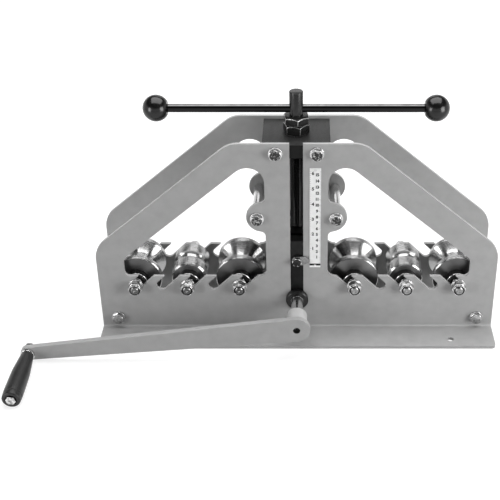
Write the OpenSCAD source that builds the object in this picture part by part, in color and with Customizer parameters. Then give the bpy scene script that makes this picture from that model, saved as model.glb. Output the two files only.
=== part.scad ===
// Hand ring roller for bending tube and bar, millimetres.
// Origin: on the bench plane, at the centre of the bench bolt holes.
// X runs along the machine, the crank side faces -Y, Z is up.

/* [Frame plates] */
// Length of the frame plates and their foot flanges
frame_len = 607; // [600:1:630]
// Height of the frame plates above the bench
frame_h = 322; // [318:1:330]
// Sheet thickness of the frame plates
plate_t = 5; // [4:0.5:6]
// Clear gap between the two frame plates
plate_gap = 87; // [86:0.5:89]
// Reach of each foot flange beyond its plate's outer face
flange_reach = 52; // [48:1:56]
// Slope of the shoulders below horizontal, degrees
shoulder_angle = 40; // [38:0.1:40.5]
// Height of the teeth between the axle slots
tooth_z = 98.3; // [97:0.1:100]
// Distance from centre to the outer edge of a window
window_out = 261; // [259:0.5:264]
// Distance from centre to the inner edge of a window
window_in = 46; // [45:0.5:47]
// Half width of the guide slot in the middle of each plate
guide_half_w = 9.7; // [9.6:0.05:9.9]

/* [Side rollers] */
// Distance from centre to the first axle position
first_axle_x = 87.5; // [86.5:0.5:89]
// Spacing of the axle slots
slot_pitch = 39.6; // [39.5:0.1:40.5]
// Height of the side axles above the bench
axle_z = 82; // [81:0.5:83]
// Radius of a side axle between its shoulders
axle_r = 8; // [7.8:0.05:8]
// Radius of the inner and outer side rollers
big_die_r = 37.5; // [34:0.5:38]
// Radius of the middle side rollers
small_die_r = 27; // [25:0.5:29]
// Half width of a side roller
die_half_w = 30.5; // [29:0.5:30.5]

/* [Press screw and slide] */
// Radius of the lead screw over its thread
screw_r = 9.95; // [9.5:0.05:9.95]
// Height of the top end of the lead screw at rest
screw_top_z = 380.5; // [374:0.5:386]
// Height of the T-bar's axis at rest
tbar_z = 354.5; // [352:0.5:358]
// Half distance between the centres of the two ball knobs
knob_x = 199; // [180:1:220]
// Radius of a ball knob
knob_r = 19; // [16:0.5:20]
// Height of the slide's top at rest
slide_top_z = 161; // [159:0.5:163]
// Height of the drive shaft's axis at rest
shaft_z = 58; // [57.8:0.1:59]
// Radius of the drive shaft
shaft_r = 8.95; // [8.5:0.05:8.95]

/* [Crank] */
// Throw of the crank, from the shaft to the handle
crank_throw = 404; // [390:1:406]
// Angle of the resting crank arm below horizontal, degrees
crank_angle = 6.17; // [5.9:0.01:6.2]
// Thickness of the crank arm
arm_t = 8; // [7:0.5:9]
// Distance from the middle of the machine to the arm's front face
arm_front_y = 131.5; // [128:0.5:136]
// Length of the handle grip
grip_len = 98; // [90:1:110]

/* [Bench bolts] */
// Spacing of the bench bolt holes along the machine
bench_hole_dx = 472; // [460:1:480]
// Spacing of the bench bolt holes across the machine
bench_hole_dy = 167; // [164:1:172]
// Radius of a bench bolt hole
bench_hole_r = 5; // [4.5:0.1:5.5]

/* [Hidden] */

// Faces across the machine
in_y = plate_gap / 2;
out_y = in_y + plate_t;
half_len = frame_len / 2;

// Bend between plate and flange
bend_in_r = 3;
bend_out_r = bend_in_r + plate_t;
flange_corner_r = 6;

// Outline of a plate
top_corner_r = 38;
shoulder_r = 42;
slope = tan(shoulder_angle);
top_corner_x = 95.5;
side_lean = 2;
shoulder_x = half_len - side_lean;
shoulder_z = frame_h - slope * (shoulder_x - top_corner_x);

// Window of a plate
window_slope = 0.85;
window_out_z = 129.6;
window_top_r = 24.4;
window_foot_r = 12;
window_low_r = 8;
window_out_r = 15;
window_peak_z = window_out_z + window_slope * (window_out - window_in);

// Ear that bulges into the window round the upper tie bolt
ear_x = 49.5;
ear_z = 202.3;
ear_r = 24.3;
ear_fillet_r = 8;
ear_fillet_x = window_in + ear_fillet_r;
ear_fillet_dz = sqrt(pow(ear_r + ear_fillet_r, 2) - pow(ear_fillet_x - ear_x, 2));

// Axle slots of the right side, opening up and inward in this direction
slot_r = 8.35;
slot_len = 34;
slot_direction = 135;
slots_a_side = 5;

// Clearances
run_gap = 0.05;
fit_gap = 0.1;
face_gap = 0.3;

// Bolts through the plates
bolt_r = 4.9;
bolt_hole_r = 5.3;
bolt_af = 16;
bolt_head_t = 6.4;
bolt_bite = 18;
washer_r = 10.2;
washer_t = 2;
bolt_hole_depth = 22;
beam_bolt = [29.5, 307];
ear_bolt = [58, 200.7];
foot_bolt = [278.5, 22];

// Beam across the top, with the screw's nuts on it
beam_half_x = 48.5;
beam_top_z = 317.4;
beam_t = 20.4;
nut_af = 34;
press_nut_t = 15;
press_nut_turn = -12.8;
lock_nut_t = 11.8;
lock_nut_turn = 37.6;
thread_gap = 0.1;

// Tie rods between the plates
tie_rod_r = 8;

// Scale
scale_x0 = 19;
scale_x1 = 35.4;
scale_z0 = 115.5;
scale_z1 = 284;
scale_t = 0.8;
rivet_r = 1.6;
rivet_inset = 3.6;

// Side axles and what sits on them
axle_end_r = 6;
axle_shoulder_y = 48.2;
axle_end_y = 65.6;
axle_washer_r = 11;
axle_washer_t = 2.3;
axle_nut_af = 19;
axle_nut_t = 10;
collar_len = 3;
collar_out_r = 9.1;
collar_in_r = 8.3;
insert_in_r = 6.2;
spacer_r = 17.5;
bush_r = 11;

// Roller grooves, as width and depth, and the floors of those with straight flanks
inner_groove = [40, 16];
inner_groove_floor = 8;
middle_groove = [16, 6.5];
outer_groove = [44, 14];
outer_groove_floor = 16;
big_chamfer = 1.2;
small_chamfer = 2.4;

// Slide
slide_half_x = 20;
cheek_t = 12.3;
cheek_in_y = in_y - face_gap - cheek_t;
cheek_foot_z = shaft_z - 20;
tongue_half_x = guide_half_w - face_gap;
tongue_y = out_y - 0.4;
tongue_foot_z = shaft_z + 12;
block_foot_z = slide_top_z - 30;
block_top_z = slide_top_z - 6;
pocket_r = 9.6;
pocket_z = block_top_z - 10;
neck_r = 6;
disc_r = 9.3;
disc_t = 9.5;
keeper_t = 5.6;
keeper_half_x = 17;
keeper_half_y = 24;
keeper_screw_r = 2.5;
keeper_screw_x = 12.5;
keeper_screw_y = 17;
shaft_bush_r = 12;
cheek_screw_r = 3;
cheek_screw_head_r = 5;
cheek_screw_x = 12.5;
cheek_screw_z = [slide_top_z - 23, slide_top_z - 10.5];

// Pointer
pointer_z = 128;
pointer_back_y = out_y + 1.7;
pointer_t = 1.3;
pointer_boss_r = 7.6;
pointer_tip_x = 19.5;
pointer_bolt_r = 3.9;
pointer_bolt_af = 13;
pointer_bolt_t = 5.3;

// Cross bar of the screw and its knobs
tbar_r = 6;
tbar_end = knob_x - 1.1;
knob_flat = 1.05;

// Shaft, die and collars
shaft_back_y = 57;
die_bore_r = shaft_r + run_gap;
key_w = 6;
key_len = 40;
key_seat = 6;
key_top = 12;
collar_r = 17;
collar_gap = 0.7;
collar_t = 7;

// Crank
hub_r = 15;
hub_len = 30;
arm_back_y = arm_front_y - arm_t;
arm_hub_r = 20.2;
arm_end_r = 11.2;
arm_hole_r = 5;
handle_x = -crank_throw * cos(crank_angle);
handle_z = shaft_z - crank_throw * sin(crank_angle);

// Handle
spindle_r = 5;
ferrule_r = 10.4;
ferrule_t = 5;
spindle_nut_af = 16;
spindle_nut_t = 8;
grip_y0 = arm_front_y + ferrule_t + face_gap;
grip_y1 = grip_y0 + grip_len;
grip_in_r = 9.4;
grip_waist_r = 13.4;
grip_belly_r = 14.1;
grip_out_r = 13.3;
recess_r = 8.2;
recess_depth = 4;
head_af = 13;
head_t = 5.5;

// Facets of curves
$fn = 64;
corner_steps = 10;

function unit(v) = v / norm(v);
function xy(p) = [p[0], p[1]];
function turn(a) = a > 180 ? a - 360 : a < -180 ? a + 360 : a;
function arc(c, r, a0, sweep, n) = [for (i = [0:n]) c + r * [cos(a0 + sweep * i / n), sin(a0 + sweep * i / n)]];

// Arc of radius b[2] that rounds the corner b between its neighbours a and c
function corner(a, b, c) = let (
    u = unit(xy(a) - xy(b)),
    v = unit(xy(c) - xy(b)),
    half = acos(u * v) / 2,
    mid = xy(b) + unit(u + v) * b[2] / sin(half),
    s = xy(b) + u * b[2] / tan(half) - mid,
    e = xy(b) + v * b[2] / tan(half) - mid,
    a0 = atan2(s[1], s[0])
) b[2] == 0 ? [xy(b)] : arc(mid, b[2], a0, turn(atan2(e[1], e[0]) - a0), corner_steps);

function rounded(p) = [for (i = [0:len(p) - 1]) each corner(p[(i + len(p) - 1) % len(p)], p[i], p[(i + 1) % len(p)])];

function across_corners(af) = af / 2 / cos(30);

// Outline in X and Z, extruded from y0 to y0 + t
module upright(y0, t) {
    translate([0, y0 + t, 0])
        rotate([90, 0, 0])
            linear_extrude(t)
                children();
}

// Round bar along Y
module rod_y(x, z, r, y0, y1) {
    translate([x, y0, z])
        rotate([-90, 0, 0])
            cylinder(r = r, h = y1 - y0);
}

// Hexagon bar along Y
module hex_y(x, z, af, y0, y1) {
    translate([x, y0, z])
        rotate([-90, 0, 0])
            cylinder(r = across_corners(af), h = y1 - y0, $fn = 6);
}

module ring_y(x, z, r, bore, y0, y1) {
    difference() {
        rod_y(x, z, r, y0, y1);
        rod_y(x, z, bore, y0 - 1, y1 + 1);
    }
}

// Repeats its children at both ends of X and Y by mirroring
module left_right() {
    children();
    mirror([1, 0, 0]) children();
}

module front_rear() {
    children();
    mirror([0, 1, 0]) children();
}

module plate_outline() {
    polygon(rounded([
        [half_len, bend_out_r, 0],
        [shoulder_x, shoulder_z, shoulder_r],
        [top_corner_x, frame_h, top_corner_r],
        [-top_corner_x, frame_h, top_corner_r],
        [-shoulder_x, shoulder_z, shoulder_r],
        [-half_len, bend_out_r, 0]
    ]));
}

// Window: four rounded corners, and an ear with two fillets in its inner edge
module window_outline() {
    foot = [window_in, tooth_z, window_foot_r];
    low = [window_out, tooth_z, window_low_r];
    out = [window_out, window_out_z, window_out_r];
    peak = [window_in, window_peak_z, window_top_r];
    ear_turn = atan2(ear_fillet_dz, ear_fillet_x - ear_x);
    polygon(concat(
        corner(peak, foot, low),
        corner(foot, low, out),
        corner(low, out, peak),
        corner(out, peak, foot),
        arc([ear_fillet_x, ear_z + ear_fillet_dz], ear_fillet_r, 180, ear_turn, corner_steps),
        arc([ear_x, ear_z], ear_r, ear_turn, -2 * ear_turn, 2 * corner_steps),
        arc([ear_fillet_x, ear_z - ear_fillet_dz], ear_fillet_r, 180 - ear_turn, ear_turn, corner_steps)
    ));
}

// Slot of half width r from a round bottom at c, along the direction a
module round_slot(c, r, a, length) {
    along = length * [cos(a), sin(a)];
    side = r * [cos(a - 90), sin(a - 90)];
    polygon(concat(
        arc(c, r, a + 90, 180, 2 * corner_steps),
        [c + side + along, c - side + along]
    ));
}

module bolt_hole(p) {
    translate(p) circle(bolt_hole_r);
}

module plate_side_cuts() {
    window_outline();
    for (i = [0:slots_a_side - 1])
        round_slot([first_axle_x + i * slot_pitch, axle_z], slot_r, slot_direction, slot_len);
    bolt_hole(beam_bolt);
    bolt_hole(ear_bolt);
    bolt_hole(foot_bolt);
}

// Foot flange with its bend, on the -Y side
module flange() {
    flange_y = out_y + flange_reach;
    bend_y = out_y + bend_in_r;
    difference() {
        linear_extrude(plate_t)
            polygon(rounded([
                [half_len, -bend_y, 0],
                [-half_len, -bend_y, 0],
                [-half_len, -flange_y, flange_corner_r],
                [half_len, -flange_y, flange_corner_r]
            ]));
        for (s = [-1, 1])
            translate([s * bench_hole_dx / 2, -bench_hole_dy / 2, -1])
                cylinder(r = bench_hole_r, h = plate_t + 2);
    }
    translate([-half_len, -bend_y, bend_out_r])
        rotate([90, 0, 90])
            linear_extrude(frame_len)
                polygon(concat(
                    arc([0, 0], bend_out_r, -90, 90, corner_steps),
                    arc([0, 0], bend_in_r, 0, -90, corner_steps)
                ));
}

module frame_plate() {
    color("silver") {
        upright(-out_y, plate_t)
            difference() {
                plate_outline();
                left_right() plate_side_cuts();
                round_slot([0, shaft_z - 1], guide_half_w, 90, frame_h);
            }
        flange();
    }
}

module front_frame_plate() {
    frame_plate();
}

module rear_frame_plate() {
    mirror([0, 1, 0]) frame_plate();
}

module top_beam() {
    color("dimgray")
        difference() {
            translate([-beam_half_x, -in_y, beam_top_z - beam_t])
                cube([2 * beam_half_x, plate_gap, beam_t]);
            translate([0, 0, beam_top_z - beam_t - 1])
                cylinder(r = screw_r + 0.5, h = beam_t + 2);
            front_rear()
                left_right()
                    rod_y(beam_bolt[0], beam_bolt[1], bolt_r + fit_gap, -in_y - 1, -in_y + bolt_hole_depth);
        }
}

// Nut of thickness t on the screw, turned about it as it was tightened
module screw_nut(z, t, turned) {
    color("dimgray")
        difference() {
            translate([0, 0, z])
                intersection() {
                    rotate(turned)
                        cylinder(r = across_corners(nut_af), h = t, $fn = 6);
                    cylinder(r1 = nut_af / 2 + t, r2 = nut_af / 2, h = t);
                }
            translate([0, 0, z - 1])
                cylinder(r = screw_r + thread_gap, h = t + 2);
        }
}

module press_nut() {
    screw_nut(beam_top_z, press_nut_t, press_nut_turn);
}

module lock_nut() {
    screw_nut(beam_top_z + press_nut_t, lock_nut_t, lock_nut_turn);
}

// Hex bolts at one place, four in all, head outside and thread inside
module plate_bolts(p) {
    head_y = out_y + washer_t;
    color("lightgray")
        front_rear()
            left_right() {
                intersection() {
                    hex_y(p[0], p[1], bolt_af, -head_y - bolt_head_t, -head_y);
                    translate([p[0], -head_y, p[1]])
                        rotate([90, 0, 0])
                            cylinder(r1 = bolt_af / 2 + bolt_head_t, r2 = bolt_af / 2, h = bolt_head_t);
                }
                rod_y(p[0], p[1], bolt_r, -head_y - 1, -in_y + bolt_bite);
            }
}

module beam_bolts() {
    plate_bolts(beam_bolt);
}

module ear_bolts() {
    plate_bolts(ear_bolt);
}

module foot_bolts() {
    plate_bolts(foot_bolt);
}

module bolt_washers() {
    color("lightgray")
        front_rear()
            left_right()
                for (p = [beam_bolt, ear_bolt, foot_bolt])
                    ring_y(p[0], p[1], washer_r, bolt_hole_r, -out_y - washer_t, -out_y);
}

module tie_rods(p) {
    color("lightgray")
        left_right()
            difference() {
                rod_y(p[0], p[1], tie_rod_r, -in_y, in_y);
                front_rear()
                    rod_y(p[0], p[1], bolt_r + fit_gap, -in_y - 1, -in_y + bolt_hole_depth);
            }
}

module ear_tie_rods() {
    tie_rods(ear_bolt);
}

module foot_tie_rods() {
    tie_rods(foot_bolt);
}

module scale_strip() {
    color("white")
        difference() {
            translate([scale_x0, -out_y - scale_t, scale_z0])
                cube([scale_x1 - scale_x0, scale_t, scale_z1 - scale_z0]);
            for (z = [scale_z0 + rivet_inset, scale_z1 - rivet_inset])
                rod_y((scale_x0 + scale_x1) / 2, z, rivet_r + fit_gap, -out_y - scale_t - 1, -out_y + 1);
        }
}

// Flat rivets that hold the scale on the plate's face
module scale_rivets() {
    color("lightgray")
        for (z = [scale_z0 + rivet_inset, scale_z1 - rivet_inset])
            rod_y((scale_x0 + scale_x1) / 2, z, rivet_r, -out_y - scale_t - 0.3, -out_y);
}

// The six side rollers: name, side, slot number
ROLLERS = [
    ["outer_left", -1, 4], ["middle_left", -1, 2], ["inner_left", -1, 0],
    ["inner_right", 1, 0], ["middle_right", 1, 2], ["outer_right", 1, 4]
];
function roller_x(r) = r[1] * (first_axle_x + r[2] * slot_pitch);

module axle(r) {
    color("lightgray") {
        rod_y(roller_x(r), axle_z, axle_r, -axle_shoulder_y, axle_shoulder_y);
        rod_y(roller_x(r), axle_z, axle_end_r, -axle_end_y, axle_end_y);
    }
}

// Washer, nut and thread end outside each plate, for every axle
module axle_washers() {
    color("lightgray")
        front_rear()
            for (r = ROLLERS)
                ring_y(roller_x(r), axle_z, axle_washer_r, axle_end_r + fit_gap, -out_y - axle_washer_t, -out_y);
}

module axle_nuts() {
    hex_y0 = -out_y - axle_washer_t - axle_nut_t;
    color("lightgray")
        front_rear()
            for (r = ROLLERS)
                difference() {
                    union() {
                        intersection() {
                            hex_y(roller_x(r), axle_z, axle_nut_af, hex_y0, hex_y0 + axle_nut_t);
                            translate([roller_x(r), hex_y0, axle_z])
                                rotate([-90, 0, 0])
                                    cylinder(r1 = axle_nut_af / 2, r2 = axle_nut_af / 2 + axle_nut_t, h = axle_nut_t);
                        }
                        rod_y(roller_x(r), axle_z, collar_out_r, hex_y0 - collar_len, hex_y0 + 1);
                    }
                    rod_y(roller_x(r), axle_z, axle_end_r + fit_gap, hex_y0 - 1, 0);
                    rod_y(roller_x(r), axle_z, collar_in_r, hex_y0 - collar_len - 1, hex_y0);
                }
}

module nut_inserts() {
    hex_y0 = -out_y - axle_washer_t - axle_nut_t;
    color("black")
        front_rear()
            for (r = ROLLERS)
                ring_y(roller_x(r), axle_z, collar_in_r - fit_gap, insert_in_r, hex_y0 - collar_len + 0.3, hex_y0);
}

module roller_spacers() {
    color("dimgray")
        front_rear()
            for (r = ROLLERS)
                ring_y(roller_x(r), axle_z, spacer_r, axle_r + fit_gap, -in_y, -die_half_w - face_gap);
}

// Half section of a roller, x as radius and y along its axle
module die_blank(r, bore, chamfer) {
    polygon([
        [bore, -die_half_w],
        [r - chamfer, -die_half_w],
        [r, -die_half_w + chamfer],
        [r, die_half_w - chamfer],
        [r - chamfer, die_half_w],
        [bore, die_half_w]
    ]);
}

// Round groove of width g[0] and depth g[1] in a roller of radius r
module round_groove(r, g) {
    groove_r = (g[0] * g[0] / 4 + g[1] * g[1]) / (2 * g[1]);
    translate([r - g[1] + groove_r, 0]) circle(groove_r, $fn = 96);
}

// Groove with straight flanks and a flat floor
module flat_groove(r, g, floor_w) {
    polygon([
        [r - g[1], -floor_w / 2],
        [r + 1, -g[0] / 2 - (g[0] - floor_w) / 2 / g[1]],
        [r + 1, g[0] / 2 + (g[0] - floor_w) / 2 / g[1]],
        [r - g[1], floor_w / 2]
    ]);
}

module die_at(x, z) {
    translate([x, 0, z])
        rotate([-90, 0, 0])
            rotate_extrude($fn = 96)
                difference() {
                    children(0);
                    children(1);
                }
}

module side_die(r) {
    bore = bush_r + run_gap;
    color("gainsboro")
        if (r[2] == 0)
            die_at(roller_x(r), axle_z) {
                die_blank(big_die_r, bore, big_chamfer);
                flat_groove(big_die_r, inner_groove, inner_groove_floor);
            }
        else if (r[2] == 2)
            die_at(roller_x(r), axle_z) {
                die_blank(small_die_r, bore, small_chamfer);
                round_groove(small_die_r, middle_groove);
            }
        else
            die_at(roller_x(r), axle_z) {
                die_blank(big_die_r, bore, big_chamfer);
                flat_groove(big_die_r, outer_groove, outer_groove_floor);
            }
}

module side_bush(r) {
    color("darkgoldenrod")
        ring_y(roller_x(r), axle_z, bush_r, axle_r + run_gap, -die_half_w, die_half_w);
}

// Block between the cheeks, with the pocket for the screw's foot
module slide_block() {
    half_y = cheek_in_y;
    color("dimgray")
        difference() {
            translate([-slide_half_x, -half_y, block_foot_z])
                cube([2 * slide_half_x, 2 * half_y, block_top_z - block_foot_z]);
            translate([0, 0, pocket_z])
                cylinder(r = pocket_r, h = block_top_z - pocket_z + 1);
            for (x = [-1, 1])
                for (y = [-1, 1])
                    translate([x * keeper_screw_x, y * keeper_screw_y, block_top_z - 12])
                        cylinder(r = keeper_screw_r + fit_gap, h = 13);
            front_rear()
                left_right()
                    for (z = cheek_screw_z)
                        rod_y(cheek_screw_x, z, cheek_screw_r + fit_gap, -half_y - 1, -half_y + 10.5);
        }
}

// Side plate of the slide: its tongue runs in the frame plate's slot
module cheek() {
    color("dimgray")
        difference() {
            union() {
                translate([-slide_half_x, -cheek_in_y - cheek_t, cheek_foot_z])
                    cube([2 * slide_half_x, cheek_t, slide_top_z - cheek_foot_z]);
                translate([-tongue_half_x, -tongue_y, tongue_foot_z])
                    cube([2 * tongue_half_x, tongue_y - cheek_in_y - 1, slide_top_z - tongue_foot_z]);
            }
            rod_y(0, shaft_z, shaft_bush_r + run_gap, -in_y - 1, -cheek_in_y + 1);
            left_right()
                for (z = cheek_screw_z) {
                    rod_y(cheek_screw_x, z, cheek_screw_r + fit_gap, -in_y - 1, -cheek_in_y + 1);
                    rod_y(cheek_screw_x, z, cheek_screw_head_r + fit_gap, -in_y - 1, -in_y + 6);
                }
            rod_y(0, pointer_z, pointer_bolt_r + fit_gap, -out_y - 1, -cheek_in_y + 1);
        }
}

module front_cheek() {
    cheek();
}

module rear_cheek() {
    mirror([0, 1, 0]) cheek();
}

// Socket screws sunk in the cheeks
module cheek_screws() {
    head_y = in_y - face_gap - 0.2;
    color("dimgray")
        front_rear()
            left_right()
                for (z = cheek_screw_z) {
                    rod_y(cheek_screw_x, z, cheek_screw_head_r, -head_y, -in_y + 6);
                    rod_y(cheek_screw_x, z, cheek_screw_r, -head_y + 1, -cheek_in_y + 10);
                }
}

// Slotted plate over the screw's foot, open to the rear
module screw_keeper() {
    color("dimgray")
        difference() {
            translate([-keeper_half_x, -keeper_half_y, block_top_z])
                cube([2 * keeper_half_x, 2 * keeper_half_y, keeper_t]);
            translate([0, 0, block_top_z - 1])
                cylinder(r = neck_r + face_gap, h = keeper_t + 2);
            translate([-neck_r - face_gap, 0, block_top_z - 1])
                cube([2 * (neck_r + face_gap), keeper_half_y + 1, keeper_t + 2]);
            for (x = [-1, 1])
                for (y = [-1, 1])
                    translate([x * keeper_screw_x, y * keeper_screw_y, block_top_z - 1])
                        cylinder(r = keeper_screw_r + fit_gap, h = keeper_t + 2);
        }
}

module keeper_screws() {
    color("lightgray")
        for (x = [-1, 1])
            for (y = [-1, 1])
                translate([x * keeper_screw_x, y * keeper_screw_y, 0]) {
                    translate([0, 0, block_top_z - 11])
                        cylinder(r = keeper_screw_r, h = keeper_t + 11);
                    translate([0, 0, block_top_z + keeper_t])
                        cylinder(r = 4, h = 2.6);
                }
}

module shaft_bush() {
    color("darkgoldenrod")
        ring_y(0, shaft_z, shaft_bush_r, shaft_r + run_gap, -cheek_in_y - cheek_t, -cheek_in_y);
}

module front_shaft_bush() {
    shaft_bush();
}

module rear_shaft_bush() {
    mirror([0, 1, 0]) shaft_bush();
}

// Sheet pointer with a boss that stands it off the tongue
module pointer() {
    color("lightgray")
        difference() {
            union() {
                rod_y(0, pointer_z, pointer_boss_r, -pointer_back_y - pointer_t, -tongue_y);
                upright(-pointer_back_y - pointer_t, pointer_t)
                    polygon(rounded([
                        [-2, pointer_z + pointer_boss_r, 1],
                        [-2, pointer_z - pointer_boss_r, 1],
                        [9, pointer_z - pointer_boss_r, 1],
                        [pointer_tip_x, pointer_z - 1.2, 0.5],
                        [pointer_tip_x, pointer_z + 1.2, 0.5],
                        [13, pointer_z + pointer_boss_r, 4]
                    ]));
            }
            rod_y(0, pointer_z, pointer_bolt_r + fit_gap, -out_y - 8, 0);
        }
}

module pointer_bolt() {
    head_y = pointer_back_y + pointer_t;
    color("lightgray") {
        hex_y(0, pointer_z, pointer_bolt_af, -head_y - pointer_bolt_t, -head_y);
        rod_y(0, pointer_z, pointer_bolt_r, -head_y - 1, -cheek_in_y - 1);
    }
}

// Screw with a neck and a disc that turn in the slide's pocket
module lead_screw() {
    color("dimgray")
        difference() {
            union() {
                translate([0, 0, pocket_z + 0.2])
                    cylinder(r = disc_r, h = disc_t);
                translate([0, 0, pocket_z + 1])
                    cylinder(r = neck_r, h = slide_top_z - pocket_z + 1);
                translate([0, 0, slide_top_z + 0.5])
                    cylinder(r = screw_r, h = screw_top_z - slide_top_z - 1.5);
                translate([0, 0, screw_top_z - 1])
                    cylinder(r1 = screw_r, r2 = screw_r - 1, h = 1);
            }
            translate([-screw_r - 1, 0, tbar_z])
                rotate([0, 90, 0])
                    cylinder(r = tbar_r + run_gap, h = 2 * screw_r + 2);
        }
}

module t_bar() {
    color("dimgray")
        translate([-tbar_end, 0, tbar_z])
            rotate([0, 90, 0])
                cylinder(r = tbar_r, h = 2 * tbar_end);
}

// Ball turned with a small flat round the mouth of its blind hole
module right_ball_knob() {
    color("black")
        translate([knob_x, 0, tbar_z])
            rotate([0, 90, 0])
                rotate_extrude($fn = 96)
                    difference() {
                        intersection() {
                            circle(knob_r, $fn = 96);
                            translate([0, knob_flat - knob_r]) square([knob_r, 2 * knob_r]);
                        }
                        translate([-1, -knob_r]) square([tbar_r + run_gap + 1, knob_r - 1]);
                    }
}

module left_ball_knob() {
    mirror([1, 0, 0]) right_ball_knob();
}

module drive_shaft() {
    color("lightgray")
        difference() {
            rod_y(0, shaft_z, shaft_r, -arm_back_y + 0.5, shaft_back_y);
            translate([-key_w / 2, -key_len / 2, shaft_z + key_seat])
                cube([key_w, key_len, shaft_r]);
        }
}

module drive_key() {
    color("dimgray")
        translate([-key_w / 2 + run_gap, -key_len / 2 + run_gap, shaft_z + key_seat])
            cube([key_w - 2 * run_gap, key_len - 2 * run_gap, key_top - key_seat - run_gap]);
}

module centre_die() {
    color("gainsboro")
        difference() {
            die_at(0, shaft_z) {
                die_blank(big_die_r, die_bore_r, big_chamfer);
                flat_groove(big_die_r, inner_groove, inner_groove_floor);
            }
            translate([-key_w / 2, -die_half_w - 1, shaft_z])
                cube([key_w, 2 * die_half_w + 2, key_top]);
        }
}

module shaft_collar() {
    color("dimgray")
        difference() {
            union() {
                rod_y(0, shaft_z, collar_r, -out_y - collar_t + 0.5, -out_y - collar_gap);
                translate([0, -out_y - collar_t + 0.5, shaft_z])
                    rotate([90, 0, 0])
                        cylinder(r1 = collar_r, r2 = collar_r - 2, h = 2);
            }
            rod_y(0, shaft_z, shaft_r + run_gap, -out_y - collar_t - 5, 0);
        }
}

module front_shaft_collar() {
    shaft_collar();
}

module rear_shaft_collar() {
    mirror([0, 1, 0]) shaft_collar();
}

module crank_hub() {
    color("lightgray")
        difference() {
            rod_y(0, shaft_z, hub_r, -arm_back_y, -arm_back_y + hub_len);
            rod_y(0, shaft_z, shaft_r + run_gap, -arm_back_y - 1, -arm_back_y + hub_len + 1);
        }
}

// Tapered flat bar from the hub to the handle, drawn along -X and then turned
module crank_arm() {
    lean = asin((arm_hub_r - arm_end_r) / crank_throw);
    color("silver")
        translate([0, 0, shaft_z])
            rotate([0, -crank_angle, 0])
                upright(-arm_front_y, arm_t)
                    difference() {
                        polygon(concat(
                            arc([0, 0], arm_hub_r, 90 + lean, -180 - 2 * lean, 3 * corner_steps),
                            arc([-crank_throw, 0], arm_end_r, -90 - lean, -180 + 2 * lean, 2 * corner_steps)
                        ));
                        circle(arm_hole_r);
                        translate([-crank_throw, 0]) circle(spindle_r + fit_gap);
                    }
}

// Long bolt that the grip turns on: its head sits in the grip's recess
module handle_spindle() {
    head_y = grip_y1 - recess_depth + face_gap;
    color("lightgray") {
        rod_y(handle_x, handle_z, spindle_r, -head_y - 1, -arm_back_y + spindle_nut_t + 2);
        hex_y(handle_x, handle_z, head_af, -head_y - head_t, -head_y);
    }
}

module handle_ferrule() {
    color("lightgray")
        ring_y(handle_x, handle_z, ferrule_r, spindle_r + fit_gap, -arm_front_y - ferrule_t, -arm_front_y);
}

module spindle_nut() {
    color("lightgray")
        difference() {
            hex_y(handle_x, handle_z, spindle_nut_af, -arm_back_y, -arm_back_y + spindle_nut_t);
            rod_y(handle_x, handle_z, spindle_r + fit_gap, -arm_back_y - 1, 0);
        }
}

// Grip, turned: it swells from the ferrule to a belly near its outer end
module handle_grip() {
    color("black")
        translate([handle_x, -grip_y0, handle_z])
            rotate([90, 0, 0])
                rotate_extrude()
                    polygon(rounded([
                        [spindle_r + run_gap, 0, 0],
                        [grip_in_r, 0, 1.5],
                        [grip_waist_r, 0.4 * grip_len, 300],
                        [grip_belly_r, 0.86 * grip_len, 150],
                        [grip_out_r, grip_len, 4],
                        [recess_r, grip_len, 0],
                        [recess_r, grip_len - recess_depth, 0],
                        [spindle_r + run_gap, grip_len - recess_depth, 0]
                    ]));
}

front_frame_plate();
rear_frame_plate();
top_beam();
press_nut();
lock_nut();
beam_bolts();
ear_bolts();
foot_bolts();
bolt_washers();
ear_tie_rods();
foot_tie_rods();
scale_strip();
scale_rivets();
axle_nuts();
nut_inserts();
axle_washers();
roller_spacers();
for (r = ROLLERS) axle(r);
for (r = ROLLERS) side_die(r);
for (r = ROLLERS) side_bush(r);
slide_block();
front_cheek();
rear_cheek();
cheek_screws();
screw_keeper();
keeper_screws();
front_shaft_bush();
rear_shaft_bush();
pointer();
pointer_bolt();
lead_screw();
t_bar();
left_ball_knob();
right_ball_knob();
drive_shaft();
centre_die();
drive_key();
front_shaft_collar();
rear_shaft_collar();
crank_hub();
crank_arm();
handle_spindle();
handle_ferrule();
spindle_nut();
handle_grip();
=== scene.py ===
"""Looks of the hand ring roller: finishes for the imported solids, and turned, threaded and hexagonal pieces
that stand for the plain ones. Lengths are in millimetres here, but in metres in the studio and in meshes."""

import math

import bmesh
import bpy
from mathutils import Euler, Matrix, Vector

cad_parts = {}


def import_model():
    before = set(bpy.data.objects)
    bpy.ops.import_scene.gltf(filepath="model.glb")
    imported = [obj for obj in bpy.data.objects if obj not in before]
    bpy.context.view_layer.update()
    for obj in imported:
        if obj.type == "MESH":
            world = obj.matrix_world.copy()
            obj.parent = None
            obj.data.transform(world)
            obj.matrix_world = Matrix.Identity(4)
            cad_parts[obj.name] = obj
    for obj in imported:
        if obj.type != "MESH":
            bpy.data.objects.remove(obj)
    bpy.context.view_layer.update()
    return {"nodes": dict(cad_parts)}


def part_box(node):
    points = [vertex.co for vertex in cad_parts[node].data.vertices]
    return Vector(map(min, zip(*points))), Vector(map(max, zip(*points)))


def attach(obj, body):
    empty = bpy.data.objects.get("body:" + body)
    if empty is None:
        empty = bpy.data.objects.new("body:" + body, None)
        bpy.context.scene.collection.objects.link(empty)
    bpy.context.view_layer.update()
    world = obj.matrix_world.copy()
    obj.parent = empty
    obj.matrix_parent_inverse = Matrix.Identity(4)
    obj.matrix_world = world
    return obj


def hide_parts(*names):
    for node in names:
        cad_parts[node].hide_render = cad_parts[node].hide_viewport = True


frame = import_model()

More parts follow.
